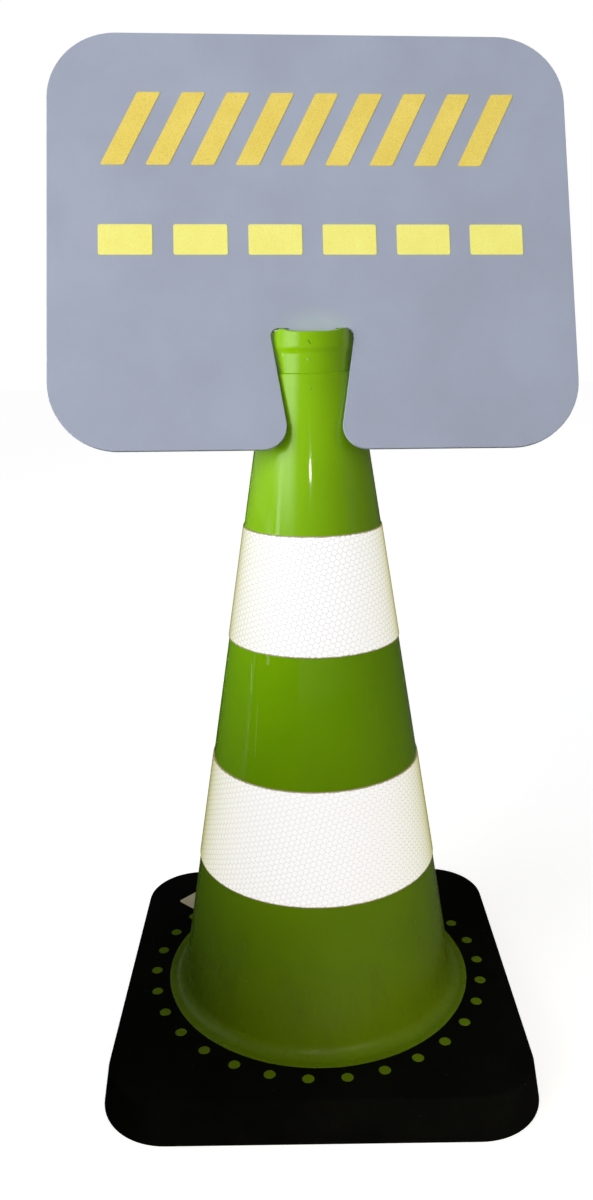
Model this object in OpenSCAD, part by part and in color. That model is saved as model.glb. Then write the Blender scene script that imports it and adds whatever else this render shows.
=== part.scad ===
// Traffic cone with a sign plate clipped over its rim.
// Millimetres, +Z up, origin on the ground under the middle of the base.
// The plate faces -Y and leans back towards +Y.

/* [Cone] */
// Height of the rim above the ground
cone_h = 500; // [430:5:600]
// Outer radius of the straight flank carried up to the rim
rim_r = 26.2; // [25:0.1:30]
// Width of the foot ring, from the straight flank to the hole in the base
foot_ring_w = 11.6; // [10.6:0.2:20]
// Wall thickness, measured level
wall = 2.6; // [1.6:0.1:3]
// Height of the raised band round the rim
rim_band_h = 9.4; // [6:0.2:14]
// How far the rim band stands out from the flank
rim_band_out = 0.5; // [0.2:0.1:0.8]
// Radius of the rim's outer edge
rim_edge_r = 0.9; // [0.4:0.1:1.4]
// Distance from the rim down to the shoulder of the neck
shoulder_drop = 25.2; // [18:0.2:34]
// How far the neck is let in at the shoulder
neck_recess = 1.9; // [0.2:0.1:2.2]
// Height of the bevel at the shoulder
neck_bevel = 0.8; // [0.3:0.1:1.6]
// Radius of the fillet between the flank and the foot ring
foot_fillet_r = 9; // [5:0.5:10]

/* [Flange and studs] */
// Thickness of the flange under the lip of the base
flange_h = 5; // [3:0.5:8]
// Reach of the flange under the lip
flange_w = 19.6; // [14:0.2:22]
// Number of studs that key the flange into the base
stud_count = 30; // [12:1:36]
// Diameter of a stud
stud_d = 8; // [5:0.2:10]
// Angle of the first stud
stud_start = 1.85; // [0:0.05:12]

/* [Base] */
// Side of the base at its lower edge
base_w = 291.6; // [240:0.2:340]
// Height of the top of the base above the ground
base_h = 32.4; // [28:0.2:42]
// How far each side leans in from the lower edge to the top
base_lean = 4.2; // [1:0.2:8]
// Corner radius at the lower edge
base_corner_r = 45.4; // [30:0.2:60]
// Radius of the rounded top edge
base_edge_r = 3; // [1:0.2:5]
// Bevel along the lower edge
base_bevel = 1.5; // [0.5:0.1:3]
// Width of the top between the middle of a side and the hole for the foot ring
base_border = 33.6; // [31:0.2:40]
// Thickness of the lip over the flange
lip_h = 9; // [5:0.5:13]
// Height of the feet
pad_h = 2; // [1:0.2:4]
// Radius of a foot
pad_r = 16; // [8:0.5:17]
// Distance of a foot's middle from both sides of the base
pad_inset = 33; // [30:0.5:36]

/* [Reflective bands] */
// Height of each band
band_h = 77; // [40:0.5:80]
// Height of the upper band's lower edge
upper_band_z = 297.5; // [250:0.5:320]
// Height of the lower band's lower edge
lower_band_z = 133.7; // [90:0.5:160]
// Thickness of the film
band_t = 0.5; // [0.2:0.1:1]
// Length over which the ends of a sleeve lap at the back
band_lap = 12; // [6:0.5:20]

/* [Sign plate] */
// Width of the plate
panel_w = 335; // [240:1:420]
// Height of the plate
panel_h = 275; // [220:1:340]
// Thickness of the plate
panel_t = 3; // [2:0.1:4]
// Corner radius of the plate
panel_corner_r = 44; // [10:1:60]
// Lean of the plate away from upright
panel_tilt = 20.7; // [19:0.1:23]
// Turn of the plate about the cone
panel_turn = 3.5; // [-20:0.5:20]
// Skew of the plate in its own plane
panel_skew = -0.7; // [-0.8:0.1:0.8]
// Distance of the plate's front face ahead of the cone's axis, at the rim
panel_ahead = 14.2; // [13:0.1:15]
// Length of the plate below the rim
panel_drop = 76; // [68:0.5:80]
// Distance of the slot from the middle of the plate
slot_offset = 1.6; // [0:0.1:4]
// Distance below the rim, along the plate, at which the slot comes closest to the flank
slot_touch_drop = 31; // [26:0.5:36]
// Corner radius at the top of the slot
slot_corner_r = 5; // [2:0.2:6]
// Radius of the flare at the mouth of the slot
slot_flare_r = 15; // [6:0.5:20]

/* [Film rows] */
// Thickness of the film on the plate
film_t = 0.3; // [0.1:0.05:0.6]
// Length of the upper row
upper_row_w = 268; // [160:1:290]
// Height of the upper row
upper_row_h = 49; // [20:1:60]
// Distance of the upper row's middle from the top of the plate
upper_row_drop = 65; // [45:1:80]
// Number of slanted bars in the upper row
upper_bar_count = 9; // [4:1:14]
// Slant of the bars
bar_slant = 26; // [0:1:40]
// Length of the lower row
lower_row_w = 271; // [160:1:290]
// Height of the lower row
lower_row_h = 20; // [8:1:34]
// Distance of the lower row's middle from the top of the plate
lower_row_drop = 139; // [110:1:155]
// Number of dashes in the lower row
lower_dash_count = 6; // [2:1:10]

/* [Sticker] */
// Side of the square sticker on the base
sticker_w = 24; // [12:1:30]
// Distance of the sticker's middle from the left side of the base
sticker_left = 47; // [35:0.5:60]
// Distance of the sticker's middle from the back of the base
sticker_back = 53.5; // [35:0.5:60]
// Turn of the sticker
sticker_turn = 47; // [0:1:90]
// Thickness of the sticker
sticker_t = 0.3; // [0.1:0.05:0.6]

/* [Hidden] */
$fn = 96;

// Clearances: ring in its hole, stud in its hole, flange in its recess, band on the flank
ring_clear = 0.2;
stud_clear = 0.1;
flange_clear = 0.6;
band_clear = 0.2;
// Clearances of the plate: sides on the flank, top of the slot on the rim, tongue in the mouth
slot_clear = 0.6;
seat_clear = 0.7;
tongue_clear = 0.9;
// How far every cut runs past its face
overrun = 2;
// Steps along an edge radius, a fillet and half the tongue's outline
edge_steps = 5;
fillet_steps = 8;
tongue_steps = 12;
// Share of the pitch that a slanted bar and a dash fill
bar_share = 0.52;
dash_share = 0.72;

hole_r = base_w / 2 - base_border;
foot_r = hole_r - foot_ring_w;
flank_slope = (foot_r - rim_r) / (cone_h - base_h);
flank_lean = atan(flank_slope);
mouth_r = rim_r - wall;
foot_top = base_h + foot_fillet_r * (1 - sin(flank_lean));
flange_top = base_h - lip_h;
flange_low = flange_top - flange_h;
flange_r = hole_r + flange_w;
stud_ring_r = hole_r + flange_w / 2;
base_reach = base_w / 2 - base_corner_r;
pad_at = base_w / 2 - pad_inset;

// Outer radius of the straight flank at a height
function flank_r(z) = rim_r + flank_slope * (cone_h - z);

// Points on an arc about a centre
function arc(x, y, r, from, to, steps) = [
    for (i = [0 : steps])
        let (a = from + (to - from) * i / steps)
            [x + r * cos(a), y + r * sin(a)]
];

function mirrored(points) = [
    for (i = [len(points) - 1 : -1 : 0])
        [-points[i][0], points[i][1]]
];

// Half section of the wall, from the inner edge of the mouth down the outside to the foot
function wall_section() =
    let (
        edge_x = rim_r + rim_band_out - rim_edge_r,
        band_z = cone_h - rim_band_h,
        shoulder_z = cone_h - shoulder_drop,
        ledge_z = shoulder_z - wall
    )
    concat(
        [[mouth_r, cone_h]],
        arc(edge_x, cone_h - rim_edge_r, rim_edge_r, 90, 0, edge_steps),
        [
            [flank_r(band_z) + rim_band_out, band_z],
            [flank_r(shoulder_z) - neck_recess, shoulder_z],
            [flank_r(shoulder_z - neck_bevel), shoulder_z - neck_bevel],
            [flank_r(foot_top), foot_top],
            [flank_r(foot_top) - wall, foot_top],
            [flank_r(ledge_z - neck_bevel) - wall, ledge_z - neck_bevel],
            [flank_r(shoulder_z) - neck_recess - wall, ledge_z]
        ]
    );

// Half section of the foot: fillet, ring in the hole of the base, and flange under its lip
function foot_section() =
    let (
        fillet_x = foot_r + foot_fillet_r * (1 / cos(flank_lean) - flank_slope),
        ring_x = hole_r - ring_clear
    )
    concat(
        [[flank_r(foot_top) - wall, foot_top]],
        arc(fillet_x, base_h + foot_fillet_r, foot_fillet_r, 180 + flank_lean, 270, fillet_steps),
        [
            [ring_x, base_h],
            [ring_x, flange_top],
            [flange_r, flange_top],
            [flange_r, flange_low],
            [flank_r(flange_low) - wall, flange_low]
        ]
    );

// Outside of the base from its lower bevel up over the rounded edge, measured from a reach
function base_side(reach) =
    let (top_x = reach + base_corner_r - base_lean - base_edge_r)
    concat(
        [
            [reach + base_corner_r - base_bevel, pad_h],
            [reach + base_corner_r, pad_h + base_bevel]
        ],
        arc(top_x, base_h - base_edge_r, base_edge_r, 0, 90, edge_steps)
    );

module at_corners(place) {
    for (sx = [-1, 1], sy = [-1, 1])
        translate([sx * place, sy * place, 0])
            children();
}

module at_studs() {
    for (i = [0 : stud_count - 1])
        rotate([0, 0, stud_start + i * 360 / stud_count])
            translate([stud_ring_r, 0, 0])
                children();
}

// Straight stretch of the base, with the section of both sides
module base_bar() {
    rotate([90, 0, 0])
        linear_extrude(2 * base_reach, center = true)
            polygon(concat(base_side(base_reach), mirrored(base_side(base_reach))));
}

module base_corner() {
    rotate_extrude()
        polygon(concat([[0, pad_h]], base_side(0), [[0, base_h]]));
}

module cone_shell() {
    color("yellowgreen")
        rotate_extrude()
            polygon(wall_section());
}

// The wall and the foot are one moulding, drawn as two solids that meet above the fillet
module cone_foot() {
    color("olivedrab")
        union() {
            rotate_extrude()
                polygon(foot_section());
            at_studs()
                translate([0, 0, flange_low + flange_h / 2])
                    cylinder(d = stud_d, h = base_h - flange_low - flange_h / 2);
        }
}

module base_plate() {
    color("#1d1e1d")
        difference() {
            union() {
                base_bar();
                rotate([0, 0, 90])
                    base_bar();
                at_corners(base_reach)
                    base_corner();
                at_corners(pad_at)
                    cylinder(r = pad_r, h = pad_h + base_bevel);
            }
            translate([0, 0, -overrun])
                cylinder(r = hole_r, h = base_h + 2 * overrun);
            translate([0, 0, -overrun])
                cylinder(r = flange_r + flange_clear, h = flange_top + overrun);
            at_studs()
                translate([0, 0, flange_top - overrun])
                    cylinder(d = stud_d + 2 * stud_clear, h = lip_h + 2 * overrun);
        }
}

// Section of the film on the flank between two distances from it
module film_section(low, inner, outer) {
    polygon([
        [flank_r(low) + inner, low],
        [flank_r(low) + outer, low],
        [flank_r(low + band_h) + outer, low + band_h],
        [flank_r(low + band_h) + inner, low + band_h]
    ]);
}

// Film sleeve whose ends lap at the back
module sleeve(low) {
    lap_angle = band_lap / flank_r(low + band_h / 2) * 180 / PI;
    union() {
        rotate_extrude()
            film_section(low, band_clear, band_clear + band_t);
        rotate([0, 0, 90 - lap_angle / 2])
            rotate_extrude(angle = lap_angle)
                film_section(low, band_clear + band_t / 2, band_clear + 2 * band_t);
    }
}

module upper_reflective_band() {
    color("whitesmoke")
        sleeve(upper_band_z);
}

module lower_reflective_band() {
    color("whitesmoke")
        sleeve(lower_band_z);
}

// The plate is drawn flat: x across, y up along the plate from the rim's level, front at z = 0.
// The slot is laid out where the plate's back face cuts the flank.
function back_y(up) = -panel_ahead + up * sin(panel_tilt) + panel_t * cos(panel_tilt);
function back_z(up) = cone_h + up * cos(panel_tilt) - panel_t * sin(panel_tilt);
function cut_half(up) = sqrt(pow(flank_r(back_z(up)), 2) - pow(back_y(up), 2));

touch_up = -slot_touch_drop;
touch_half = cut_half(touch_up);
slot_slope = -(flank_r(back_z(touch_up)) * flank_slope * cos(panel_tilt)
    + back_y(touch_up) * sin(panel_tilt)) / touch_half;
slot_lean = atan(slot_slope);
// Where the back face reaches the rim's level, half the width of the rim there, and the top of the slot
seat_up = panel_t * tan(panel_tilt);
rim_half = sqrt(pow(rim_r + rim_band_out, 2) - pow(back_y(seat_up), 2));
slot_top = seat_up + seat_clear / cos(panel_tilt);

// Half width of the slot: a tangent to the cut through the flank, held off by the clearance
function slot_half(up) = touch_half + slot_clear + slot_slope * (up - touch_up);

// The tongue fills what passes the ledge inside the neck when the plate is drawn off along the front wall
tongue_r = mouth_r - neck_recess - wall * flank_slope - tongue_clear;
tongue_lean = sin(panel_tilt) - cos(panel_tilt) * flank_slope;
tongue_root_angle = acos((panel_ahead - slot_top * tongue_lean) / tongue_r);

module on_panel() {
    rotate([0, 0, panel_turn])
        translate([0, -panel_ahead, cone_h])
            rotate([90 - panel_tilt, 0, 0])
                translate([0, touch_up, 0])
                    rotate([0, 0, panel_skew])
                        translate([0, -touch_up, 0])
                            children();
}

module panel_outline() {
    in_w = panel_w - 2 * panel_corner_r;
    in_h = panel_h - 2 * panel_corner_r;
    translate([slot_offset, panel_h / 2 - panel_drop])
        union() {
            square([panel_w, in_h], center = true);
            square([in_w, panel_h], center = true);
            for (sx = [-1, 1], sy = [-1, 1])
                translate([sx * in_w / 2, sy * in_h / 2])
                    circle(r = panel_corner_r);
        }
}

// Middle of the slot's top corner, far enough out for the corner to pass round the rim
function corner_middle(corner_up) = max(
    slot_half(corner_up) - slot_corner_r / cos(slot_lean),
    rim_half - rim_edge_r + slot_clear - sqrt(pow(slot_corner_r, 2) - pow(seat_up - corner_up, 2))
);

// Right side of the cut-out: flared mouth, slanted side, round top corner and half of the tongue
function slot_side() =
    let (
        flare_up = -panel_drop + slot_flare_r,
        flare_x = slot_half(flare_up) + slot_flare_r / cos(slot_lean),
        corner_up = slot_top - slot_corner_r,
        corner_x = corner_middle(corner_up)
    )
    concat(
        [[flare_x, -panel_drop - overrun]],
        arc(flare_x, flare_up, slot_flare_r, 270, 180 - slot_lean, fillet_steps),
        arc(corner_x, corner_up, slot_corner_r, -slot_lean, 90, fillet_steps),
        [
            for (i = [tongue_steps : -1 : 1])
                let (a = tongue_root_angle * i / tongue_steps)
                    [tongue_r * sin(a), (panel_ahead - tongue_r * cos(a)) / tongue_lean]
        ]
    );

module cut_out() {
    tongue_tip = [0, (panel_ahead - tongue_r) / tongue_lean];
    polygon(concat(slot_side(), [tongue_tip], mirrored(slot_side())));
}

module sign_panel() {
    color("#a3a9ba")
        on_panel()
            translate([0, 0, -panel_t])
                linear_extrude(panel_t)
                    difference() {
                        panel_outline();
                        cut_out();
                    }
}

// Row of equal bars that fill a length, slanted about their middles
module film_row(row_w, row_h, row_drop, count, fill_share, slant) {
    lean = row_h / 2 * tan(slant);
    pitch = (row_w - 2 * lean) / (count - 1 + fill_share);
    half = pitch * fill_share / 2;
    on_panel()
        translate([slot_offset, panel_h - panel_drop - row_drop, 0])
            for (i = [0 : count - 1])
                translate([(i - (count - 1) / 2) * pitch, 0, 0])
                    linear_extrude(film_t)
                        polygon([
                            [-half - lean, -row_h / 2],
                            [half - lean, -row_h / 2],
                            [half + lean, row_h / 2],
                            [-half + lean, row_h / 2]
                        ]);
}

module upper_film_row() {
    color("goldenrod")
        film_row(upper_row_w, upper_row_h, upper_row_drop, upper_bar_count, bar_share, bar_slant);
}

module lower_film_row() {
    color("goldenrod")
        film_row(lower_row_w, lower_row_h, lower_row_drop, lower_dash_count, dash_share, 0);
}

module base_sticker() {
    color("wheat")
        translate([sticker_left - base_w / 2, base_w / 2 - sticker_back, base_h])
            rotate([0, 0, sticker_turn])
                linear_extrude(sticker_t)
                    square(sticker_w, center = true);
}

cone_shell();
cone_foot();
base_plate();
upper_reflective_band();
lower_reflective_band();
sign_panel();
upper_film_row();
lower_film_row();
base_sticker();
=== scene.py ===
import math
import random

import bmesh
import bpy
from mathutils import Matrix, Vector


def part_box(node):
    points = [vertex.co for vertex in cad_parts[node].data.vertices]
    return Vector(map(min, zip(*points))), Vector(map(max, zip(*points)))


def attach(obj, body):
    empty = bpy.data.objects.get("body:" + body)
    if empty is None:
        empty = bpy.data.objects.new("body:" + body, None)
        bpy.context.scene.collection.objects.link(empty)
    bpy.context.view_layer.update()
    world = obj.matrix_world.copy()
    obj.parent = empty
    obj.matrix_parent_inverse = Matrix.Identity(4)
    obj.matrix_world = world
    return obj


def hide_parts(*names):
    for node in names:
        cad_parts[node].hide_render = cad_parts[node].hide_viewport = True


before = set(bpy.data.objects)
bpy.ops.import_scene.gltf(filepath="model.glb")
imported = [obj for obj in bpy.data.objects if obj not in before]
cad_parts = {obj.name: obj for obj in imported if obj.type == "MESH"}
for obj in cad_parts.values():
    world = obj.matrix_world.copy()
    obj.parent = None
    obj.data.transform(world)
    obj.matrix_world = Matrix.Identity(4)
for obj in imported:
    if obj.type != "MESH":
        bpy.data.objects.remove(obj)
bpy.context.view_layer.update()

mm = 0.001
weldReach = 0.002 * mm  # points nearer than this become one
flatTurn = 0.4  # degrees, faces that differ by less become one
print("frame loaded:", len(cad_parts), "nodes")


# small helpers for modelling

def deselectAll():
    if bpy.context.object and bpy.context.object.mode != "OBJECT":
        bpy.ops.object.mode_set(mode="OBJECT")
    bpy.ops.object.select_all(action="DESELECT")


def pickPiece(piece):
    deselectAll()
    piece.select_set(True)
    bpy.context.view_layer.objects.active = piece


def openEdit(piece, pick="EDGE"):
    pickPiece(piece)
    bpy.ops.object.mode_set(mode="EDIT")
    bpy.ops.mesh.select_mode(type=pick)
    bpy.ops.mesh.select_all(action="DESELECT")


def closeEdit():
    bpy.ops.object.mode_set(mode="OBJECT")


def pickEdges(piece, wanted):
    mesh = bmesh.from_edit_mesh(piece.data)
    for edge in mesh.edges:
        edge.select_set(wanted(edge))
    bmesh.update_edit_mesh(piece.data)


def pickFaces(piece, wanted):
    mesh = bmesh.from_edit_mesh(piece.data)
    for face in mesh.faces:
        face.select_set(wanted(face))
    bmesh.update_edit_mesh(piece.data)


def applyPlace(piece):
    pickPiece(piece)
    bpy.ops.object.transform_apply(location=True, rotation=True, scale=True)


def smoothShade(piece, degrees):
    pickPiece(piece)
    bpy.ops.object.shade_smooth_by_angle(angle=math.radians(degrees))


def bevelEdges(piece, s):
    bevel = piece.modifiers.new("edgeRound", "BEVEL")
    bevel.width = s["edge"]
    bevel.segments = s["segments"]
    bevel.limit_method = "ANGLE"
    bevel.angle_limit = math.radians(s["sharp"])
    pickPiece(piece)
    bpy.ops.object.modifier_apply(modifier=bevel.name)


def joinInto(piece, extras):
    deselectAll()
    for extra in extras:
        extra.select_set(True)
    piece.select_set(True)
    bpy.context.view_layer.objects.active = piece
    bpy.ops.object.join()


def arcPoints(x, z, radius, start, end, steps):
    turns = [math.radians(start + (end - start) * i / steps) for i in range(steps + 1)]
    return [(x + radius * math.cos(a), z + radius * math.sin(a)) for a in turns]


# rings along a straight stretch of a section, with one close to each end to hold its shading
def stretchPoints(start, end, rows, hold):
    length = math.dist(start, end)
    shares = [0, hold / length] + [i / rows for i in range(1, rows)] + [1 - hold / length, 1]
    return [(start[0] + (end[0] - start[0]) * t, start[1] + (end[1] - start[1]) * t) for t in shares]


# a ring is drawn at the first point, then pulled from point to point round the section
def turnProfile(name, sides, points):
    deselectAll()
    radius, height = points[0]
    bpy.ops.mesh.primitive_circle_add(vertices=sides, radius=radius, location=(0, 0, height))
    piece = bpy.context.object
    piece.name = name
    applyPlace(piece)
    openEdit(piece)
    bpy.ops.mesh.select_all(action="SELECT")
    for nextRadius, nextHeight in points[1:]:
        bpy.ops.mesh.extrude_region_move(TRANSFORM_OT_translate={"value": (0, 0, nextHeight - height)})
        widen = nextRadius / radius
        bpy.ops.transform.resize(value=(widen, widen, 1), center_override=(0, 0, nextHeight))
        radius, height = nextRadius, nextHeight
    bpy.ops.mesh.select_all(action="SELECT")
    bpy.ops.mesh.remove_doubles(threshold=weldReach)
    bpy.ops.mesh.normals_make_consistent(inside=False)
    closeEdit()
    return piece


# a copy of a CAD node, merged, with its flat faces made whole again
def mergedCopy(name, node):
    piece = bpy.data.objects.new(name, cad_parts[node].data.copy())
    bpy.context.scene.collection.objects.link(piece)
    openEdit(piece)
    bpy.ops.mesh.select_all(action="SELECT")
    bpy.ops.mesh.customdata_custom_splitnormals_clear()
    bpy.ops.mesh.remove_doubles(threshold=weldReach)
    bpy.ops.mesh.dissolve_limited(angle_limit=math.radians(flatTurn))
    bpy.ops.mesh.normals_make_consistent(inside=False)
    closeEdit()
    return piece


def nodeEnds(node):
    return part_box(node)[0].z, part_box(node)[1].z


def mount(piece, body, slot, look, *nodes):
    piece.data.materials.clear()
    piece.data.materials.append(look)
    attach(piece, body)
    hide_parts(*nodes)


# small helpers for materials

def newLook(name):
    look = bpy.data.materials.new(name)
    look.use_nodes = True
    return look, look.node_tree, look.node_tree.nodes["Principled BSDF"]


def setInput(tree, node, key, value):
    if isinstance(value, bpy.types.NodeSocket):
        tree.links.new(value, node.inputs[key])
    else:
        node.inputs[key].default_value = value


def add(tree, kind, inputs=None, **settings):
    node = tree.nodes.new("ShaderNode" + kind)
    for key, value in settings.items():
        setattr(node, key, value)
    for key, value in (inputs or {}).items():
        setInput(tree, node, key, value)
    return node


def calc(tree, what, first, second=0.0, clamp=False):
    return add(tree, "Math", {0: first, 1: second}, operation=what, use_clamp=clamp).outputs[0]


def vector(tree, what, first, second=(0, 0, 0), third=(0, 0, 0)):
    node = add(tree, "VectorMath", {0: first, 1: second}, operation=what)
    if what == "WRAP":
        setInput(tree, node, 2, third)
    return node.outputs["Value" if what in ("LENGTH", "DOT_PRODUCT") else "Vector"]


def blend(tree, share, first, second, how="MIX"):
    node = add(tree, "Mix", {0: share, 6: first, 7: second}, data_type="RGBA", blend_type=how)
    return node.outputs[2]


def spread(tree, value, low, high, newLow=0.0, newHigh=1.0, smooth=False):
    inputs = {"Value": value, "From Min": low, "From Max": high, "To Min": newLow, "To Max": newHigh}
    kind = "SMOOTHSTEP" if smooth else "LINEAR"
    return add(tree, "MapRange", inputs, interpolation_type=kind, clamp=True).outputs[0]


def noise(tree, place, scale, detail=2.0, rough=0.5):
    inputs = {"Vector": place, "Scale": scale, "Detail": detail, "Roughness": rough}
    return add(tree, "TexNoise", inputs).outputs["Fac"]


def stretched(tree, place, scale, turn=(0, 0, 0)):
    return add(tree, "Mapping", {"Vector": place, "Scale": scale, "Rotation": turn}).outputs[0]


def bump(tree, height, depth, under=None):
    inputs = {"Height": height, "Distance": depth, "Strength": 1.0}
    if under is not None:
        inputs["Normal"] = under
    return add(tree, "Bump", inputs).outputs[0]


# lightens and darkens a colour by the level of a pattern
def toned(tree, body, pattern, dark, light):
    tone = spread(tree, pattern, 0.3, 0.7, dark, light)
    shade = add(tree, "CombineColor", {0: tone, 1: tone, 2: tone}).outputs[0]
    return blend(tree, 1.0, body, shade, "MULTIPLY")


# a screen colour of 0 to 255 as the shader takes it
def colour(red, green, blue):
    def linear(value):
        value = value / 255
        return value / 12.92 if value <= 0.04045 else ((value + 0.055) / 1.055) ** 2.4
    return (linear(red), linear(green), linear(blue), 1.0)


# cone: the wall with its neck, the foot ring, the flange under the base's lip and the studs

coneSet = dict(
    sides=192,
    smooth=32,  # degrees
    rimRadius=26.2 * mm,  # of the straight flank carried up to the rim
    footRadius=100.6 * mm,  # of the straight flank at the top of the base
    wall=2.6 * mm,
    rimBandHigh=9.4 * mm,
    rimBandOut=0.5 * mm,
    rimEdge=0.9 * mm,
    mouthEdge=0.7 * mm,
    mouthSteps=4,
    rimSteps=5,
    neckRows=2,
    waistSteps=4,
    shoulderDrop=25.2 * mm,
    waistDrop=13.4 * mm,  # the neck draws in below the rim band and flares again to the shoulder
    waistIn=0.62 * mm,
    neckRecess=1.4 * mm,  # at the shoulder
    neckBevel=0.8 * mm,
    witnessDrop=34.6 * mm,  # faint line left by the mould
    witnessOut=0.12 * mm,
    witnessHalf=0.5 * mm,
    footFillet=9.0 * mm,
    filletSteps=12,
    flankRows=24,
    hold=0.3 * mm,
    ringReach=112.0 * mm,
    ringEdge=0.5 * mm,
    ringSteps=3,
    flangeReach=131.8 * mm,
    flangeTop=23.4 * mm,
    flangeLow=18.4 * mm,
    studCount=30,
    studSides=32,
    studRing=122.0 * mm,
    studRadius=4.0 * mm,
    studTurn=1.85,  # degrees
    studEdge=0.25 * mm,
    rimRise=1.7 * mm,  # where the rim meets the plate, left and right of its front
    rimRiseAt=51,  # degrees from the plate's middle
    rimRiseSpread=(17, 8.5),  # degrees towards the front and away from it
    rimSoft=(7 * mm, 1 * mm),  # depth below the rim at which the rise starts and is whole
    rimSwell=0.9 * mm,  # at the sides of the rim
    rimSwellAt=92,
    rimSwellSpread=13,
    swellSoft=(11 * mm, 4 * mm),
    plateTurn=3.5,
    pipRadius=0.75 * mm,  # gate marks on the front of the neck
    pipFlat=0.6,
    pipSides=16,
    pipRings=8,
    pipSink=0.95 * mm,  # how far the neck lies below the straight flank at the upper one
    pipPlaces=[(-0.07, 16.8 * mm), (-0.02, 34.6 * mm)],  # turn in radians, drop from the rim
)

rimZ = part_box("cone_shell")[1].z
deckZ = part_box("base_plate")[1].z
flankSlope = (coneSet["footRadius"] - coneSet["rimRadius"]) / (rimZ - deckZ)
flankLean = math.atan(flankSlope)


def flankRadius(z):
    return coneSet["rimRadius"] + flankSlope * (rimZ - z)


def coneSection(s):
    mouth = s["rimRadius"] - s["wall"]
    bandZ = rimZ - s["rimBandHigh"]
    shoulderZ = rimZ - s["shoulderDrop"]
    ledgeZ = shoulderZ - s["wall"]
    witnessZ = rimZ - s["witnessDrop"]
    rimX = s["rimRadius"] + s["rimBandOut"] - s["rimEdge"]
    filletX = s["footRadius"] + s["footFillet"] * (1 / math.cos(flankLean) - flankSlope)
    footStart = 180 + math.degrees(flankLean)
    footZ = deckZ + s["footFillet"] * (1 - math.sin(flankLean))
    mouthX, mouthZ = mouth + s["mouthEdge"], rimZ - s["mouthEdge"]
    points = arcPoints(mouthX, mouthZ, s["mouthEdge"], 180, 90, s["mouthSteps"])
    points += arcPoints(rimX, rimZ - s["rimEdge"], s["rimEdge"], 90, 0, s["rimSteps"])
    band = (flankRadius(bandZ) + s["rimBandOut"], bandZ)
    neck = (flankRadius(shoulderZ) - s["neckRecess"], shoulderZ)
    shoulder = (flankRadius(shoulderZ - s["neckBevel"]), shoulderZ - s["neckBevel"])
    lineTop = (flankRadius(witnessZ + s["witnessHalf"]), witnessZ + s["witnessHalf"])
    lineLow = (flankRadius(witnessZ - s["witnessHalf"]), witnessZ - s["witnessHalf"])
    footTop = (flankRadius(footZ), footZ)
    points += stretchPoints(points[-1], band, s["neckRows"], s["hold"])[1:]
    fall = s["waistDrop"] - s["rimBandHigh"]
    for i in range(1, s["waistSteps"] + 1):
        t = i / s["waistSteps"]
        points += [(band[0] - s["waistIn"] * (1 - math.cos(math.pi * t)) / 2, bandZ - fall * t)]
    points += stretchPoints(points[-1], neck, s["neckRows"], s["hold"])[1:]
    points += stretchPoints(shoulder, lineTop, s["neckRows"], s["hold"])
    points += [(flankRadius(witnessZ) + s["witnessOut"], witnessZ)]
    points += stretchPoints(lineLow, footTop, s["flankRows"], s["hold"])[:-1]
    points += arcPoints(filletX, deckZ + s["footFillet"], s["footFillet"], footStart, 270, s["filletSteps"])
    ringX, ringZ = s["ringReach"] - s["ringEdge"], deckZ - s["ringEdge"]
    points += arcPoints(ringX, ringZ, s["ringEdge"], 90, 0, s["ringSteps"])
    points += [
        (s["ringReach"], s["flangeTop"]),
        (s["flangeReach"], s["flangeTop"]),
        (s["flangeReach"], s["flangeLow"]),
        (flankRadius(s["flangeLow"]) - s["wall"], s["flangeLow"]),
        (flankRadius(ledgeZ - s["neckBevel"]) - s["wall"], ledgeZ - s["neckBevel"]),
        (flankRadius(shoulderZ) - s["neckRecess"] - s["wall"], ledgeZ),
    ]
    return points + points[:1]


def makeStuds(s):
    low = (s["flangeTop"] + s["flangeLow"]) / 2
    deselectAll()
    bpy.ops.mesh.primitive_cylinder_add(
        vertices=s["studSides"], radius=s["studRadius"], depth=deckZ - low,
        location=(s["studRing"], 0, (deckZ + low) / 2))
    first = bpy.context.object
    applyPlace(first)
    openEdit(first)
    pickEdges(first, lambda e: all(v.co.z > deckZ - s["studEdge"] / 2 for v in e.verts))
    bpy.ops.mesh.bevel(offset=s["studEdge"], segments=1, affect="EDGES")
    closeEdit()
    studs = [first]
    for i in range(1, s["studCount"]):
        copy = bpy.data.objects.new("stud", first.data.copy())
        bpy.context.scene.collection.objects.link(copy)
        studs.append(copy)
    for i, stud in enumerate(studs):
        stud.rotation_euler.z = math.radians(s["studTurn"] + 360 / s["studCount"] * i)
        applyPlace(stud)
    return studs


# the soft rim stands a little higher where it presses on the plate, and swells out beside it
def raiseRim(piece, s):
    for vert in piece.data.vertices:
        rise, swell = [min(max((vert.co.z - rimZ + start) / (start - whole), 0), 1)
                       for start, whole in (s["rimSoft"], s["swellSoft"])]
        turn = abs(math.degrees(math.atan2(vert.co.x, -vert.co.y)) - s["plateTurn"])
        off = (turn - s["rimRiseAt"]) / s["rimRiseSpread"][turn > s["rimRiseAt"]]
        side = (turn - s["rimSwellAt"]) / s["rimSwellSpread"]
        out = 1 + s["rimSwell"] * swell * math.exp(-side * side) / s["rimRadius"]
        vert.co.x *= out
        vert.co.y *= out
        vert.co.z += s["rimRise"] * rise * math.exp(-off * off)


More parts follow.
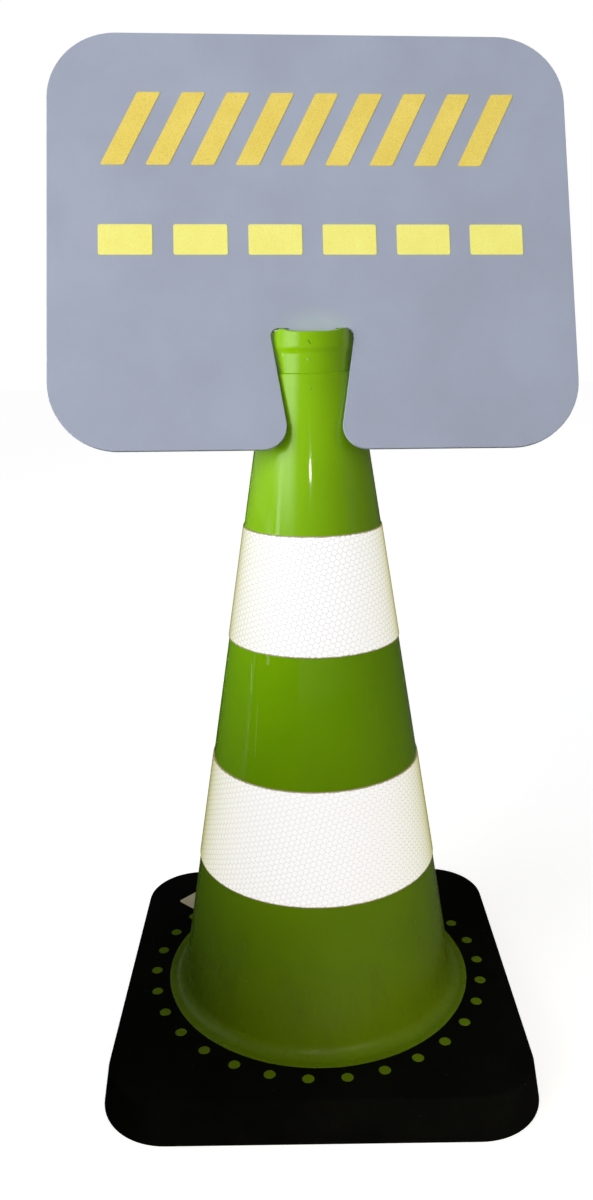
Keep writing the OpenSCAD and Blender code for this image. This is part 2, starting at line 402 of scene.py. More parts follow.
def makePips(s):
    pips = []
    for turn, drop in s["pipPlaces"]:
        z = rimZ - drop
        radius = flankRadius(z) - (s["pipSink"] if drop < s["shoulderDrop"] else 0)
        deselectAll()
        bpy.ops.mesh.primitive_uv_sphere_add(
            segments=s["pipSides"], ring_count=s["pipRings"], radius=s["pipRadius"],
            location=(radius * math.sin(turn), -radius * math.cos(turn), z))
        pip = bpy.context.object
        pip.scale = (1.0, s["pipFlat"], 1.0)
        applyPlace(pip)
        pips.append(pip)
    return pips


coneMoulding = turnProfile("coneMoulding", coneSet["sides"], coneSection(coneSet))
raiseRim(coneMoulding, coneSet)
joinInto(coneMoulding, makeStuds(coneSet) + makePips(coneSet))
smoothShade(coneMoulding, coneSet["smooth"])
print("cone turned:", len(coneMoulding.data.polygons), "faces")


# reflective sleeves: film round the flank, whose ends lap at the back

bandSet = dict(
    sides=240,
    clear=0.2 * mm,
    film=0.5 * mm,
    edge=0.12 * mm,
    rows=14,
    hold=0.3 * mm,
    lap=12.0 * mm,
    lapShare=0.9,  # of the film's thickness that the upper end stands out by
    lapFacing=0.7,  # how squarely a face looks back to be part of the lap
    cutWaver=0.16 * mm,  # how far the cut edges stray from level
    swayCounts=(5, 9, 17, 31, 47),  # waves round the edge
    swayShares=(0.2, 1.0),
    seed=11,
    smooth=40,  # degrees
)


def sleeveSection(s, low, high):
    inner, outer = s["clear"], s["clear"] + s["film"]
    points = [
        (flankRadius(low) + inner, low),
        (flankRadius(low) + outer - s["edge"], low),
        (flankRadius(low + s["edge"]) + outer, low + s["edge"]),
    ]
    face = (flankRadius(high - s["edge"]) + outer, high - s["edge"])
    points += stretchPoints(points[-1], face, s["rows"], s["hold"])[1:]
    points += [
        (flankRadius(high) + outer - s["edge"], high),
        (flankRadius(high) + inner, high),
    ]
    return points + points[:1]


# the film is unrolled as a flat sheet would be, in metres, with its parting at the back
def unrollFilm(piece):
    flat = piece.data.uv_layers.new(name="film")
    apexZ = rimZ + coneSet["rimRadius"] / flankSlope
    narrow = math.sin(flankLean)
    for face in piece.data.polygons:
        middle = math.atan2(face.center.x, -face.center.y)
        for loop in face.loop_indices:
            point = piece.data.vertices[piece.data.loops[loop].vertex_index].co
            turn = math.atan2(point.x, -point.y)
            turn += 2 * math.pi * round((middle - turn) / (2 * math.pi))
            slant = (apexZ - point.z) / math.cos(flankLean)
            flat.data[loop].uv = (slant * math.sin(turn * narrow), -slant * math.cos(turn * narrow))


def makeSleeve(name, node, s):
    low, high = nodeEnds(node)
    sleeve = turnProfile(name, s["sides"], sleeveSection(s, low, high))
    halfLap = s["lap"] / 2
    openEdit(sleeve, "FACE")
    pickFaces(sleeve, lambda f: f.calc_center_median().y > 0 and abs(f.calc_center_median().x) < halfLap
              and f.normal.y > s["lapFacing"])
    lapOut = {"value": s["film"] * s["lapShare"]}
    bpy.ops.mesh.extrude_region_shrink_fatten(TRANSFORM_OT_shrink_fatten=lapOut)
    closeEdit()
    stray = random.Random(s["seed"])
    sway = [(stray.uniform(*s["swayShares"]), k, stray.uniform(0, 2 * math.pi)) for k in s["swayCounts"]]
    whole = sum(share for share, k, start in sway)
    for vert in sleeve.data.vertices:
        end = 1 if vert.co.z > high - s["edge"] / 2 else -1 if vert.co.z < low + s["edge"] / 2 else 0
        turn = math.atan2(vert.co.x, -vert.co.y) + end
        waver = sum(share * math.sin(k * turn + start) for share, k, start in sway) / whole
        vert.co.z -= end * s["cutWaver"] * abs(waver)
    unrollFilm(sleeve)
    smoothShade(sleeve, s["smooth"])
    return sleeve


upperBand = makeSleeve("upperBand", "upper_reflective_band", bandSet)
lowerBand = makeSleeve("lowerBand", "lower_reflective_band", bandSet)
print("sleeves wrapped")


# base, sign plate, film and sticker: copies of the solids with their edges broken

baseSet = dict(edge=0.6 * mm, segments=2, sharp=50, smooth=20)
plateSet = dict(edge=0.35 * mm, segments=2, sharp=50, smooth=20)
filmSet = dict(corner=1.2 * mm, segments=4, film=0.3 * mm, slack=1.2, smooth=30)
stickerSet = dict(corner=2.0 * mm, segments=5, film=0.3 * mm, slack=1.2, smooth=30)


def makeBlock(name, node, s):
    piece = mergedCopy(name, node)
    bevelEdges(piece, s)
    smoothShade(piece, s["smooth"])
    return piece


# the short edges through the film are rounded, so that each piece has soft corners
def makeFilm(name, node, s):
    film = mergedCopy(name, node)
    openEdit(film)
    pickEdges(film, lambda e: e.calc_length() < s["slack"] * s["film"])
    bpy.ops.mesh.bevel(offset=s["corner"], segments=s["segments"], affect="EDGES")
    closeEdit()
    smoothShade(film, s["smooth"])
    return film


baseBlock = makeBlock("baseBlock", "base_plate", baseSet)
signPlate = makeBlock("signPlate", "sign_panel", plateSet)
upperFilm = makeFilm("upperFilm", "upper_film_row", filmSet)
lowerFilm = makeFilm("lowerFilm", "lower_film_row", filmSet)
baseSticker = makeFilm("baseSticker", "base_sticker", stickerSet)
print("base, plate, film and sticker shaped")


# green soft plastic: painted shade darkening it towards the foot, grimier towards the foot, with rubbed
# streaks, small scratches and painted glints

greenSet = dict(
    top=colour(137, 188, 10),
    middle=colour(121, 172, 8),
    foot=colour(108, 140, 4),
    grime=colour(70, 84, 16),
    # colour of the pale scratches and of the painted glints
    scratchAndGlint=colour(176, 204, 110),
    nick=colour(44, 60, 6),
    stops=(0.05, 0.5, 0.85),  # of foot, middle and top of the painted shade, as shares of the height
    cloudScale=14.0,
    cloudTones=(0.94, 1.05),
    dirtScale=46.0,
    dirtStretch=(1, 1, 0.45),
    dirtShare=0.3,
    dirtHigh=130 * mm,  # above the base, where the last of it is left
    dirtLast=0.12,
    frayScale=700.0,
    streakScale=110.0,
    streakStretch=(1, 1, 0.06),
    streakDepth=0.03 * mm,
    pebbleScale=900.0,
    pebbleDepth=0.006 * mm,
    markDepth=0.02 * mm,
    strokeShares=(0.3, 0.6),  # of a stroke's width, where it is whole and where it ends
    shine=0.08,  # roughness at the neck
    wear=0.20,  # more of it at the foot
    specular=0.5,
    scratchesAndGlints=[
        [(-44.2, 289), (-42.8, 270), 0.80, 0.75],
        [(-36.7, 264), (-36.0, 229), 0.60, 0.35],
        # painted highlight: a short glint of light on the left of the flank
        [(-31.7, 297), (-31.3, 292), 2.60, 0.45],
        [(-35.4, 75.6), (-31.3, 75.1), 0.40, 0.50],
        [(-38.0, 37.0), (-29.0, 38.5), 0.50, 0.40],
        [(-3.5, 36.5), (-0.8, 36.6), 0.50, 0.40],
        [(38.0, 262), (38.6, 236), 0.40, 0.20],
        [(52.0, 96), (50.0, 70), 0.40, 0.22],
        [(112.0, 285), (113.0, 240), 0.45, 0.45],
        [(171.0, 120), (174.0, 70), 0.50, 0.45],
        [(-128.0, 110), (-121.0, 104), 0.45, 0.40],
        # painted highlights: glints of light on the two gate marks at the neck
        [(-4.8, 483.2), (-4.2, 482.8), 1.20, 1.00],
        [(-40.6, 486.4), (-39.8, 485.2), 1.10, 0.90],
    ],  # turn in degrees and height in mm of both ends, width in mm, strength
    nicks=[
        [(-4.0, 494.6), (-1.0, 492.4), 0.50, 0.90],
        [(146.0, 493.0), (151.0, 494.5), 0.50, 0.80],
    ],
)


# how strongly a point lies on a short stroke, given by its two ends on the cone
def stroke(tree, turn, z, mark, shares):
    start, end, width, strength = mark
    radius = flankRadius(start[1] * mm)
    along = (math.radians(end[0] - start[0]) * radius, (end[1] - start[1]) * mm, 0)
    square = along[0] ** 2 + along[1] ** 2
    across = calc(tree, "MULTIPLY", calc(tree, "SUBTRACT", turn, math.radians(start[0])), radius)
    above = calc(tree, "SUBTRACT", z, start[1] * mm)
    point = add(tree, "CombineXYZ", {0: across, 1: above}).outputs[0]
    share = vector(tree, "DOT_PRODUCT", point, (along[0] / square, along[1] / square, 0))
    share = calc(tree, "ADD", share, 0.0, clamp=True)
    off = vector(tree, "LENGTH", vector(tree, "SUBTRACT", point, vector(tree, "MULTIPLY", share, along)))
    whole, gone = [share * width * mm for share in shares]
    return spread(tree, off, whole, gone, strength, 0.0, smooth=True)


def strokes(tree, turn, z, marks, shares):
    most = 0.0
    for mark in marks:
        most = calc(tree, "MAXIMUM", stroke(tree, turn, z, mark, shares), most)
    return most


def makeGreen(s):
    look, tree, shader = newLook("coneGreen")
    place = add(tree, "TexCoord").outputs["Object"]
    x, y, z = add(tree, "SeparateXYZ", {0: place}).outputs
    turn = calc(tree, "ARCTAN2", x, calc(tree, "MULTIPLY", y, -1.0))
    height = spread(tree, z, deckZ, rimZ)
    # painted shade: the green darkens from the rim down to the foot, as if less light reached it
    ramp = add(tree, "ValToRGB", {0: height})
    low, middle, high = s["stops"]
    ramp.color_ramp.elements[0].color = s["foot"]
    ramp.color_ramp.elements[0].position = low
    ramp.color_ramp.elements[1].color = s["top"]
    ramp.color_ramp.elements[1].position = high
    ramp.color_ramp.elements.new(middle).color = s["middle"]
    body = toned(tree, ramp.outputs[0], noise(tree, place, s["cloudScale"], 3.0), *s["cloudTones"])

    dirt = noise(tree, stretched(tree, place, s["dirtStretch"]), s["dirtScale"], 6.0, 0.62)
    near = spread(tree, z, deckZ, deckZ + s["dirtHigh"], 1.0, s["dirtLast"])
    smudge = calc(tree, "MULTIPLY", spread(tree, dirt, 0.52, 0.8, 0.0, s["dirtShare"]), near)
    body = blend(tree, smudge, body, s["grime"])

    # pale scratches, together with painted highlights from the glints in the same list
    paleMarkAndPaintedGlow = strokes(tree, turn, z, s["scratchesAndGlints"], s["strokeShares"])
    frayed = spread(tree, noise(tree, place, s["frayScale"], 3.0), 0.35, 0.6, 0.35, 1.0)
    scratchAndGlint = calc(tree, "MULTIPLY", paleMarkAndPaintedGlow, frayed)
    body = blend(tree, scratchAndGlint, body, s["scratchAndGlint"])
    nick = strokes(tree, turn, z, s["nicks"], s["strokeShares"])
    body = blend(tree, nick, body, s["nick"])
    setInput(tree, shader, "Base Color", body)

    streak = noise(tree, stretched(tree, place, s["streakStretch"]), s["streakScale"], 3.0)
    gloss = spread(tree, streak, 0.3, 0.7, s["shine"] - 0.02, s["shine"] + 0.03)
    gloss = calc(tree, "ADD", gloss, spread(tree, height, 0.0, 0.6, s["wear"], 0.0))
    gloss = calc(tree, "ADD", gloss, calc(tree, "MULTIPLY", smudge, 0.5))
    setInput(tree, shader, "Roughness", gloss)
    skin = bump(tree, streak, s["streakDepth"])
    skin = bump(tree, noise(tree, place, s["pebbleScale"], 2.0), s["pebbleDepth"], skin)
    skin = bump(tree, calc(tree, "MAXIMUM", scratchAndGlint, nick), -s["markDepth"], skin)
    setInput(tree, shader, "Normal", skin)
    shader.inputs["Specular IOR Level"].default_value = s["specular"]
    return look


# black moulded recycled rubber: dusty, pitted, with pale specks

rubberSet = dict(
    body=colour(11, 12, 10),
    worn=colour(18, 19, 16),
    dust=colour(96, 94, 84),
    roughness=0.72,
    patchScale=22.0,
    speckScale=260.0,
    speckReach=(0.06, 0.11),
    speckFew=(0.965, 0.975),  # cells above this level hold a speck
    speckShare=0.7,
    speckDepth=0.05 * mm,
    hazeScale=150.0,
    hazeShare=0.06,
    skinScale=420.0,
    skinDepth=0.08 * mm,
    specular=0.06,
)


def makeRubber(s):
    look, tree, shader = newLook("baseBlack")
    place = add(tree, "TexCoord").outputs["Object"]
    patch = noise(tree, place, s["patchScale"], 5.0, 0.6)
    body = blend(tree, spread(tree, patch, 0.4, 0.75), s["body"], s["worn"])
    cells = add(tree, "TexVoronoi", {"Vector": place, "Scale": s["speckScale"], "Randomness": 1.0})
    dot = spread(tree, cells.outputs["Distance"], *s["speckReach"], 1.0, 0.0)
    few = spread(tree, add(tree, "SeparateColor", {0: cells.outputs["Color"]}).outputs[0], *s["speckFew"])
    speck = calc(tree, "MULTIPLY", dot, few)
    haze = spread(tree, noise(tree, place, s["hazeScale"], 6.0, 0.7), 0.62, 0.85, 0.0, s["hazeShare"])
    body = blend(tree, haze, body, s["dust"])
    body = blend(tree, calc(tree, "MULTIPLY", speck, s["speckShare"]), body, s["dust"])
    setInput(tree, shader, "Base Color", body)
    rough = spread(tree, patch, 0.3, 0.7, s["roughness"], s["roughness"] + 0.16)
    setInput(tree, shader, "Roughness", rough)
    skin = bump(tree, noise(tree, place, s["skinScale"], 4.0, 0.6), s["skinDepth"])
    skin = bump(tree, speck, s["speckDepth"], skin)
    setInput(tree, shader, "Normal", skin)
    shader.inputs["Specular IOR Level"].default_value = s["specular"]
    return look


# white retroreflective film: a honeycomb of sealed cells under a clear face

whiteSet = dict(
    cell=colour(138, 138, 146),
    wall=colour(107, 105, 118),
    sealed=colour(66, 50, 20),  # along the cut edges
    pitch=3.9 * mm,
    turn=-15,  # degrees, of the honeycomb on the film
    wallShare=0.045,
    wallDepth=0.05 * mm,
    grainScale=1800.0,
    ragScale=500.0,
    rag=1.6 * mm,  # how far the seal strays in from the cut edge
    sealEnds=(-0.4 * mm, 0.2 * mm),
    sealShare=0.8,
    glow=3.95,  # painted glow: the cells shine by themselves, in place of the light they send back
    roughness=0.3,
    cover=(0.89, 0.886, 0.78, 1.0),  # tint of the clear film on top
    coverBend=1.001,
    coverRoughness=0.10,
    specular=0.2,
)


def makeWhite(s, name, node):
    look, tree, shader = newLook(name)
    flat = add(tree, "UVMap", uv_map="film").outputs[0]
    grid = stretched(tree, flat, (1 / s["pitch"], 1 / s["pitch"], 0), (0, 0, math.radians(s["turn"])))
    rise = math.sqrt(0.75)  # from one row of cells to the next, over the pitch
    half = (0.5, rise, 0.5)
    back = (-0.5, -rise, -0.5)
    near = vector(tree, "WRAP", grid, half, back)
    other = vector(tree, "WRAP", vector(tree, "ADD", grid, (0.5, rise, 0)), half, back)
    isNear = calc(tree, "LESS_THAN", vector(tree, "LENGTH", near), vector(tree, "LENGTH", other))
    cell = add(tree, "Mix", {0: isNear, 4: other, 5: near}, data_type="VECTOR").outputs[1]
    reach = vector(tree, "ABSOLUTE", cell)
    slanted = vector(tree, "DOT_PRODUCT", reach, (0.5, rise, 0))
    straight = add(tree, "SeparateXYZ", {0: reach}).outputs[0]
    toWall = calc(tree, "SUBTRACT", 0.5, calc(tree, "MAXIMUM", slanted, straight))
    wall = spread(tree, toWall, s["wallShare"] * 0.5, s["wallShare"], 1.0, 0.0, smooth=True)

    place = add(tree, "TexCoord").outputs["Object"]
    film = toned(tree, s["cell"], noise(tree, place, s["grainScale"], 2.0), 0.97, 1.0)
    film = blend(tree, wall, film, s["wall"])
    low, high = nodeEnds(node)
    z = add(tree, "SeparateXYZ", {0: place}).outputs[2]
    ends = calc(tree, "MINIMUM", calc(tree, "SUBTRACT", z, low), calc(tree, "SUBTRACT", high, z))
    ragged = calc(tree, "MULTIPLY", noise(tree, place, s["ragScale"], 3.0), s["rag"])
    rim = spread(tree, calc(tree, "SUBTRACT", ends, ragged), *s["sealEnds"], s["sealShare"], 0.0)
    film = blend(tree, rim, film, s["sealed"])
    setInput(tree, shader, "Base Color", film)
    # painted glow: the film gives off light in its own colour
    setInput(tree, shader, "Emission Color", film)
    shader.inputs["Emission Strength"].default_value = s["glow"]
    rough = spread(tree, wall, 0.0, 1.0, s["roughness"], s["roughness"] + 0.2)
    setInput(tree, shader, "Roughness", rough)
    setInput(tree, shader, "Normal", bump(tree, wall, -s["wallDepth"]))
    shader.inputs["Coat Weight"].default_value = 1.0
    shader.inputs["Coat Roughness"].default_value = s["coverRoughness"]
    shader.inputs["Coat IOR"].default_value = s["coverBend"]
    shader.inputs["Coat Tint"].default_value = s["cover"]
    shader.inputs["Specular IOR Level"].default_value = s["specular"]
    return look


# grey-blue sheet with a fine satin grain, and a painted green glow above the cone's rim

greySet = dict(
    body=colour(173, 179, 198),
    deep=colour(167, 172, 190),
    roughness=0.46,
    paleMarkAndPaintedGlow=colour(190, 204, 200),  # painted glow: green light from the rim thrown back onto the sheet, as a pale patch above it
    paintedGlowAt=(4 * mm, 0.0, 503 * mm),
    paintedGlowReach=(28 * mm, 14 * mm),
    paintedGlowShare=0.4,
    patchScale=18.0,
    grainScale=1300.0,
    grainTones=(0.975, 1.02),
    grainDepth=0.02 * mm,
    waveScale=160.0,
    waveDepth=0.03 * mm,
    specular=0.35,
)


def makeGrey(s):
    look, tree, shader = newLook("panelGrey")
    place = add(tree, "TexCoord").outputs["Object"]
    patch = noise(tree, place, s["patchScale"], 4.0, 0.55)
    body = blend(tree, spread(tree, patch, 0.35, 0.65), s["deep"], s["body"])
    # painted glow: a pale patch on the sheet just above the cone's rim
    wide, high = s["paintedGlowReach"]
    off = vector(tree, "MULTIPLY", vector(tree, "SUBTRACT", place, s["paintedGlowAt"]), (1 / wide, 0, 1 / high))
    paleMarkAndPaintedGlow = spread(tree, vector(tree, "LENGTH", off), 0.2, 1.0, s["paintedGlowShare"], 0.0, smooth=True)
    body = blend(tree, paleMarkAndPaintedGlow, body, s["paleMarkAndPaintedGlow"])
    grain = noise(tree, place, s["grainScale"], 3.0, 0.6)
    body = toned(tree, body, grain, *s["grainTones"])
    setInput(tree, shader, "Base Color", body)
    rough = spread(tree, patch, 0.3, 0.7, s["roughness"] - 0.03, s["roughness"] + 0.05)
    setInput(tree, shader, "Roughness", rough)
    skin = bump(tree, grain, s["grainDepth"])
    skin = bump(tree, noise(tree, place, s["waveScale"], 2.0), s["waveDepth"], skin)
    setInput(tree, shader, "Normal", skin)
    shader.inputs["Specular IOR Level"].default_value = s["specular"]
    return look


# yellow reflective film with fine beads

yellowSet = dict(
    gold=(colour(240, 217, 112), colour(222, 194, 84)),  # light and deep
    lemon=(colour(248, 242, 140), colour(236, 226, 112)),
    roughness=0.4,
    glow=0.16,  # painted glow: the beads shine by themselves, in place of the light they send back
    beadScale=1500.0,
    beadShare=0.7,
    beadDepth=0.02 * mm,
    patchScale=60.0,
    patchShare=0.5,
)


def makeYellow(s, name, tints):
    look, tree, shader = newLook(name)
    light, deep = s[tints]
    place = add(tree, "TexCoord").outputs["Object"]
    beads = add(tree, "TexVoronoi", {"Vector": place, "Scale": s["beadScale"]}).outputs["Distance"]
    patch = calc(tree, "MULTIPLY", noise(tree, place, s["patchScale"], 3.0), s["patchShare"])
    share = calc(tree, "ADD", calc(tree, "MULTIPLY", beads, s["beadShare"]), patch)
    body = blend(tree, spread(tree, share, 0.3, 0.85), light, deep)
    setInput(tree, shader, "Base Color", body)
    # painted glow: the film gives off light in its own colour
    setInput(tree, shader, "Emission Color", body)
    shader.inputs["Emission Strength"].default_value = s["glow"]
    rough = spread(tree, beads, 0.0, 0.8, s["roughness"] - 0.05, s["roughness"] + 0.12)
    setInput(tree, shader, "Roughness", rough)
    setInput(tree, shader, "Normal", bump(tree, beads, s["beadDepth"]))
    return look


# pale blank label

paperSet = dict(
    body=colour(246, 234, 202),
    deep=colour(228, 212, 174),
    roughness=0.55,
    fibreScale=320.0,
    fibreStretch=(1, 3, 1),
    fibreDepth=0.03 * mm,
    stainScale=70.0,
    stainShare=0.5,
)


def makePaper(s):
    look, tree, shader = newLook("stickerPale")
    place = add(tree, "TexCoord").outputs["Object"]
    fibre = noise(tree, stretched(tree, place, s["fibreStretch"]), s["fibreScale"], 5.0, 0.65)
    stain = noise(tree, place, s["stainScale"], 3.0)
    body = blend(tree, spread(tree, fibre, 0.35, 0.7), s["body"], s["deep"])
    body = blend(tree, spread(tree, stain, 0.55, 0.8, 0.0, s["stainShare"]), body, s["deep"])
    setInput(tree, shader, "Base Color", body)
    rough = spread(tree, fibre, 0.3, 0.7, s["roughness"], s["roughness"] + 0.15)
    setInput(tree, shader, "Roughness", rough)
    setInput(tree, shader, "Normal", bump(tree, fibre, s["fibreDepth"]))
    return look


mount(coneMoulding, "cone", "cone_green", makeGreen(greenSet), "cone_shell", "cone_foot")
mount(baseBlock, "cone", "base_black", makeRubber(rubberSet), "base_plate")
mount(upperBand, "cone", "band_white", makeWhite(whiteSet, "upperWhite", "upper_reflective_band"),
      "upper_reflective_band")
mount(lowerBand, "cone", "band_white", makeWhite(whiteSet, "lowerWhite", "lower_reflective_band"),
      "lower_reflective_band")
mount(baseSticker, "cone", "sticker_pale", makePaper(paperSet), "base_sticker")
mount(signPlate, "sign", "panel_grey", makeGrey(greySet), "sign_panel")
mount(upperFilm, "sign", "film_yellow", makeYellow(yellowSet, "filmGold", "gold"), "upper_film_row")
mount(lowerFilm, "sign", "film_yellow", makeYellow(yellowSet, "filmLemon", "lemon"), "lower_film_row")
print("finishes set")


# stage: pale floor and white surround

stageSet = dict(
    floorReach=9.0,
    floorSides=96,
    floorPale=(0.55, 0.55, 0.55, 1.0),
    floorGlow=0.80,  # near the object, where the floor shows its shadow
    farGlow=0.88,  # further off, up to the white surround
    glowEnds=(0.4, 2.0),  # from the middle, in metres
    surround=0.18,  # what the surround lights the object with
)


def seenDirectly(tree):
    path = add(tree, "LightPath").outputs
    seen = calc(tree, "MAXIMUM", path["Is Camera Ray"], path["Is Glossy Ray"])
    return calc(tree, "MAXIMUM", seen, path["Is Transmission Ray"])


def makeStage(s):
    deselectAll()
    bpy.ops.mesh.primitive_circle_add(vertices=s["floorSides"], radius=s["floorReach"], fill_type="NGON")
    floor = bpy.context.object
    floor.name = "floor"
    look = bpy.data.materials.new("floorPale")
    look.use_nodes = True
    tree = look.node_tree
    tree.nodes.remove(tree.nodes["Principled BSDF"])
    pale = add(tree, "BsdfDiffuse", {"Color": s["floorPale"]})
    place = add(tree, "TexCoord").outputs["Object"]
    off = vector(tree, "LENGTH", place)
    level = spread(tree, off, *s["glowEnds"], s["floorGlow"], s["farGlow"], smooth=True)
    strength = calc(tree, "MULTIPLY", seenDirectly(tree), level)
    glow = add(tree, "Emission", {"Strength": strength})
    both = add(tree, "AddShader", {0: pale.outputs[0], 1: glow.outputs[0]})
    tree.links.new(both.outputs[0], tree.nodes["Material Output"].inputs[0])
    floor.data.materials.append(look)

    world = bpy.data.worlds.new("surround")
    bpy.context.scene.world = world
    world.use_nodes = True
    tree = world.node_tree
    strength = spread(tree, seenDirectly(tree), 0.0, 1.0, s["surround"], 1.0)
    setInput(tree, tree.nodes["Background"], "Color", (1.0, 1.0, 1.0, 1.0))
    setInput(tree, tree.nodes["Background"], "Strength", strength)
    return floor


# lamps: a window, a flash beside the camera, and weak ones from the front, the right and the left
lampSet = dict(
    window=dict(at=(-1.99, -1.68, 1.29), aim=(0.0, 0.0, 1.02), size=(2.50, 2.13), power=31.5, spread=90,
                tint=(0.955, 1.0, 1.02)),
    flash=dict(at=(-0.045, -0.675, 0.532), aim=(0.0, 0.0, 0.30), size=(0.035, 0.022), power=0.12, spread=180,
               tint=(1.0, 0.90, 0.86)),
    fill=dict(at=(0.48, -0.98, 0.45), aim=(0.03, 0.0, -0.20), size=(0.30, 0.30), power=0.38, spread=50,
              tint=(1.0, 0.84, 0.6)),
    side=dict(at=(1.35, -0.45, 0.75), aim=(0.0, 0.0, 0.64), size=(0.80, 0.80), power=0.29, spread=28,
              tint=(1.0, 0.84, 0.6)),
    left=dict(at=(-1.50, 0.02, 0.75), aim=(0.0, 0.0, 0.56), size=(0.60, 0.60), power=0.22, spread=24,
              tint=(0.955, 1.0, 1.02)),
)

# cards round the object: the first keeps the window off the foot, the gloss alone shows the others
cardSet = dict(
    cards=[
        [(-0.205, -0.564), (-0.590, -0.104), (0.0, 0.395), 0.0, True],
        [(0.45, -0.50), (0.66, 1.40), (0.0, 0.30), 0.05, False],
        [(0.45, -0.50), (0.66, 1.40), (0.30, 1.3), 0.09, False],
        [(-0.45, -0.08), (-0.66, 1.40), (0.0, 0.30), 0.03, False],
        [(-0.45, -0.08), (-0.66, 1.40), (0.30, 0.39), 0.14, False],
        [(-0.45, -0.08), (-0.66, 1.40), (0.39, 0.75), 0.33, False],
        [(-0.45, -0.08), (-0.66, 1.40), (0.75, 1.3), 0.0, False],
        [(-0.66, 1.40), (0.66, 1.40), (0.0, 1.3), 0.0, False],
        [(-0.45, -0.45), (0.45, -0.45), (0.0, 0.25), 0.0, False],
    ],  # two ends on the floor, lower and upper edge, a glow, and whether it casts a shadow
    mats=[
        [(-1.0, -2.60), (0.0, 1.40), 1 * mm, 0.01],
        [(0.0, -2.60), (1.0, 1.40), 1 * mm, 0.06],
        [(-3.0, -3.0), (3.0, 3.0), 2.6, 0.02],
    ],  # two corners, a height and a glow
)


# a plane that the gloss alone shows, unless it is to cast a shadow too
def addPlane(name, size, turns, place, look, shades=False):
    deselectAll()
    bpy.ops.mesh.primitive_plane_add(size=1.0)
    plane = bpy.context.object
    plane.name = name
    plane.scale = (*size, 1.0)
    plane.rotation_euler = turns
    plane.location = place
    plane.data.materials.append(look)
    plane.visible_camera = False
    plane.visible_diffuse = shades
    plane.visible_shadow = shades


def standPlane(name, start, end, edges, look, shades=False):
    along = end - start
    middle = (start + end) / 2
    low, high = edges
    addPlane(name, (along.length, high - low), (math.pi / 2, 0, math.atan2(along.y, along.x)),
             (middle.x, middle.y, (low + high) / 2), look, shades)


def newGlow(name):
    look, tree, shader = newLook(name)
    shader.inputs["Base Color"].default_value = (0.0, 0.0, 0.0, 1.0)
    shader.inputs["Specular IOR Level"].default_value = 0.0
    shader.inputs["Emission Color"].default_value = (1.0, 1.0, 1.0, 1.0)
    return look, tree, shader


def makeCardLook(glow):
    look, tree, shader = newGlow("cardMatt")
    shader.inputs["Emission Strength"].default_value = glow
    return look


def makeCards(s):
    for start, end, edges, glow, shades in s["cards"]:
        standPlane("card", Vector(start), Vector(end), edges, makeCardLook(glow), shades)
    for low, high, z, glow in s["mats"]:
        size = Vector(high) - Vector(low)
        middle = (Vector(low) + Vector(high)) / 2
        addPlane("mat", size, (0, 0, 0), (middle.x, middle.y, z), makeCardLook(glow))


# the window and the room as the gloss alone shows them
paneSet = dict(
    panes=[
        [(-95, -62), 1.9, (0.50, 1.35), (0.0, 2.6), (0.50, 0.72)],
        [(-62, -44), 1.9, (0.50, 1.35), (2.6, 2.6), (0.50, 0.72)],
        [(-44, -28), 1.9, (0.50, 1.35), (2.6, 0.15), (0.50, 0.72)],
        [(-64, -57), 1.8, (0.35, 0.80), (2.8, 2.8), (0.35, 0.48)],
        [(-70, -20), 2.2, (0.00, 2.0), (0.0, 0.15), (-0.20, -0.10)],
        [(-20, 50), 2.2, (0.00, 2.0), (0.15, 0.04), (-0.20, -0.10)],
    ],  # turn of both ends in degrees, distance, lower and upper edge, glow at both ends, ends of the fade
    least=0.03,  # share of the glow that is left below the fade
)


def makePaneLook(glows, edges, fade, least):
    look, tree, shader = newGlow("paneGlow")
    place = add(tree, "SeparateXYZ", {0: add(tree, "TexCoord").outputs["Object"]}).outputs
    across = spread(tree, place[0], -0.5, 0.5, *glows)
    low, high = [(z - edges[0]) / (edges[1] - edges[0]) - 0.5 for z in fade]
    rise = spread(tree, place[1], low, high, least, 1.0, smooth=True)
    setInput(tree, shader, "Emission Strength", calc(tree, "MULTIPLY", across, rise))
    return look


def makePanes(s):
    for turns, away, edges, glows, fade in s["panes"]:
        start, end = [Vector((math.sin(math.radians(t)), -math.cos(math.radians(t)))) * away for t in turns]
        standPlane("pane", start, end, edges, makePaneLook(glows, edges, fade, s["least"]))


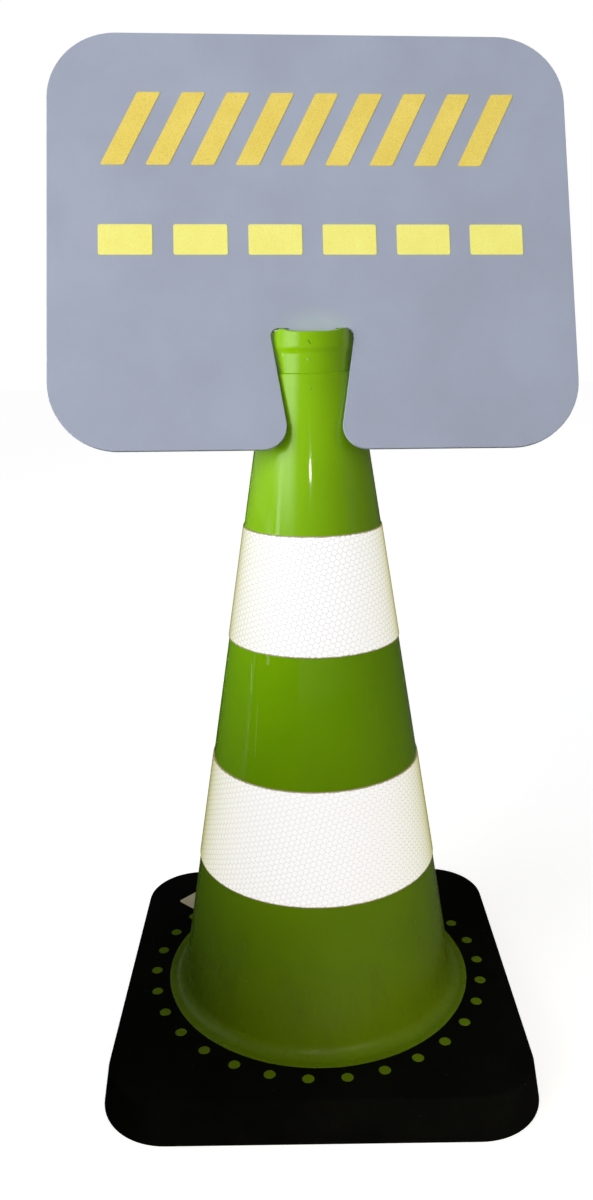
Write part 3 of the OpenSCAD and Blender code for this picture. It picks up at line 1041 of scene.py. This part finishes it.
def makeLamp(name, s, mirrored=False):
    deselectAll()
    bpy.ops.object.light_add(type="AREA", location=s["at"])
    lamp = bpy.context.object
    lamp.name = name
    lamp.rotation_euler = (Vector(s["aim"]) - Vector(s["at"])).to_track_quat("-Z", "Y").to_euler()
    lamp.data.shape = "RECTANGLE"
    lamp.data.size, lamp.data.size_y = s["size"]
    lamp.data.energy = s["power"]
    lamp.data.spread = math.radians(s["spread"])
    lamp.data.color = s["tint"]
    lamp.visible_camera = False
    lamp.visible_glossy = mirrored
    return lamp


def gather(name, pieces):
    group = bpy.data.collections.new(name)
    for piece in pieces:
        group.objects.link(piece)
    return group


floor = makeStage(stageSet)
makeCards(cardSet)
makePanes(paneSet)

# the window lights the object and the floor by a lamp each, and the floor's passes through the cards
dressed = gather("dressed", [coneMoulding, baseBlock, upperBand, lowerBand, baseSticker, signPlate,
                             upperFilm, lowerFilm])
windowLamp = makeLamp("windowLamp", lampSet["window"])
windowLamp.light_linking.receiver_collection = dressed
floorLamp = makeLamp("floorLamp", lampSet["window"])
floorLamp.light_linking.receiver_collection = gather("ground", [floor])
floorLamp.light_linking.blocker_collection = dressed
makeLamp("flashLamp", lampSet["flash"], mirrored=True)
for name in ("fill", "side", "left"):
    makeLamp(name + "Lamp", lampSet[name])


# camera: where the photograph was taken from

cameraSet = dict(
    at=(-10.086 * mm, -675.362 * mm, 501.684 * mm),
    pitch=0.261798,  # radians below level
    yaw=-0.0023815,
    roll=-0.016247,
    focalShare=1013.44 / 1200,  # focal length over the picture's long side
    nearest=10 * mm,
)


def makeCamera(s):
    forward = Vector((math.sin(s["yaw"]) * math.cos(s["pitch"]), math.cos(s["yaw"]) * math.cos(s["pitch"]),
                      -math.sin(s["pitch"])))
    level = Vector((math.cos(s["yaw"]), -math.sin(s["yaw"]), 0))
    above = level.cross(forward)
    right = level * math.cos(s["roll"]) + above * math.sin(s["roll"])
    up = above * math.cos(s["roll"]) - level * math.sin(s["roll"])
    deselectAll()
    bpy.ops.object.camera_add()
    camera = bpy.context.object
    camera.matrix_world = Matrix.Translation(s["at"]) @ Matrix((right, up, -forward)).transposed().to_4x4()
    camera.data.lens = s["focalShare"] * camera.data.sensor_width
    camera.data.clip_start = s["nearest"]
    bpy.context.scene.camera = camera


makeCamera(cameraSet)
bpy.context.scene.view_settings.view_transform = "Standard"
print("stage, lamps and camera set")
